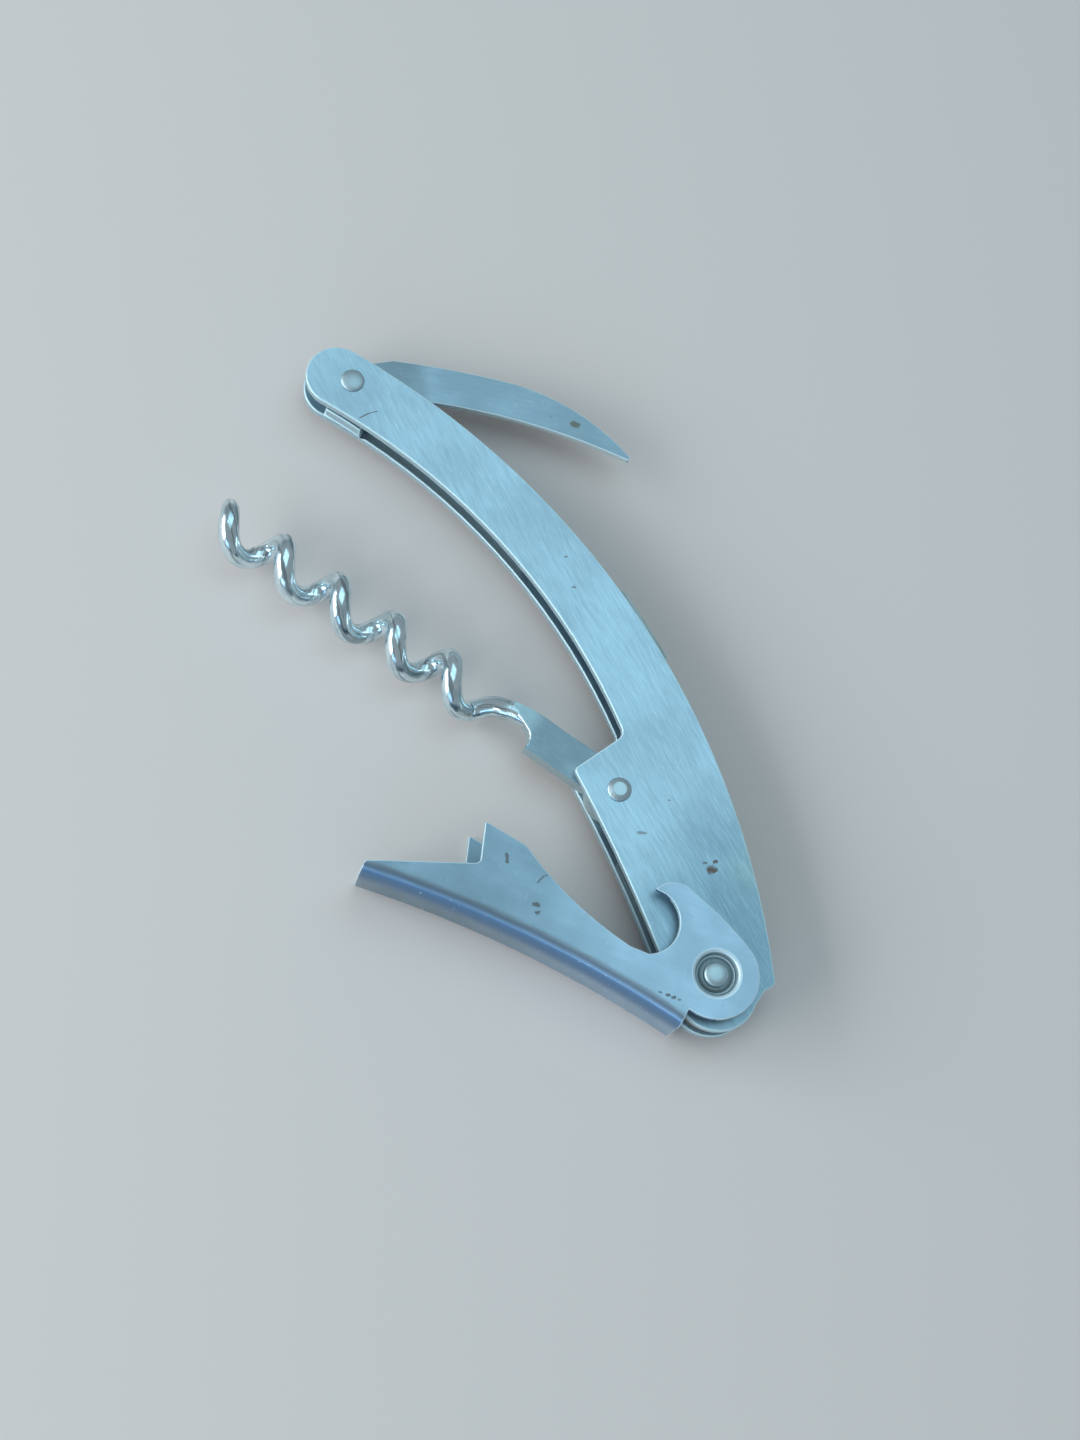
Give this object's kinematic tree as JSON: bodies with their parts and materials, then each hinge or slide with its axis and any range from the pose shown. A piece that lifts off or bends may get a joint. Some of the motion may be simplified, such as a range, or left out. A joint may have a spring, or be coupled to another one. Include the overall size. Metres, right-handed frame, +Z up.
{
  "type": "lever corkscrew",
  "caption": "Folding all-steel waiter's corkscrew: curved riveted handle with a curved foil knife, a helical worm and a folded channel lever with a cap lifter.",
  "frame": {"origin": "under the middle of the whole object's bounding box, on the surface that the lever's lower cheek lies on", "axes": "+X from the knife end of the handle to the lever end, +Y towards the handle's convex back, +Z up through the side plates"},
  "size_m": [0.1152, 0.0692, 0.0106],
  "materials": {
    "plate_steel": "fine brushing along the handle",
    "lever_steel": "satin, lightly pitted",
    "blade_steel": "dull satin",
    "worm_chrome": "bright plated",
    "rivet_steel": "satin",
    "spring_steel": "dark satin"
  },
  "bodies": {
    "handle": {"upper_side_plate": "plate_steel", "lower_side_plate": "plate_steel", "back_spring": "spring_steel", "knife_spring": "spring_steel", "knife_spacer_upper": "spring_steel", "knife_spacer_lower": "spring_steel", "knife_rivet": "rivet_steel", "worm_rivet": "rivet_steel", "lever_rivet": "rivet_steel", "lever_washer_upper": "spring_steel", "lever_washer_lower": "spring_steel"},
    "knife": {"knife_blade": "blade_steel"},
    "worm": {"worm": "worm_chrome"},
    "lever": {"lever": "lever_steel"}
  },
  "joints": [
    {"name": "knife_hinge", "type": "hinge", "parent": "handle", "child": "knife", "pos_m": [-0.0512, 0.00364, 0.0053], "axis": [0, 0, 1], "range_deg": [-32, 148]},
    {"name": "worm_hinge", "type": "hinge", "parent": "handle", "child": "worm", "pos_m": [0.0209, 0.00364, 0.0053], "axis": [0, 0, 1], "range_deg": [-16.5, 34]},
    {"name": "lever_hinge", "type": "hinge", "parent": "handle", "child": "lever", "pos_m": [0.05, 0.00014, 0.0053], "axis": [0, 0, 1], "range_deg": [-13, 116]}
  ]
}
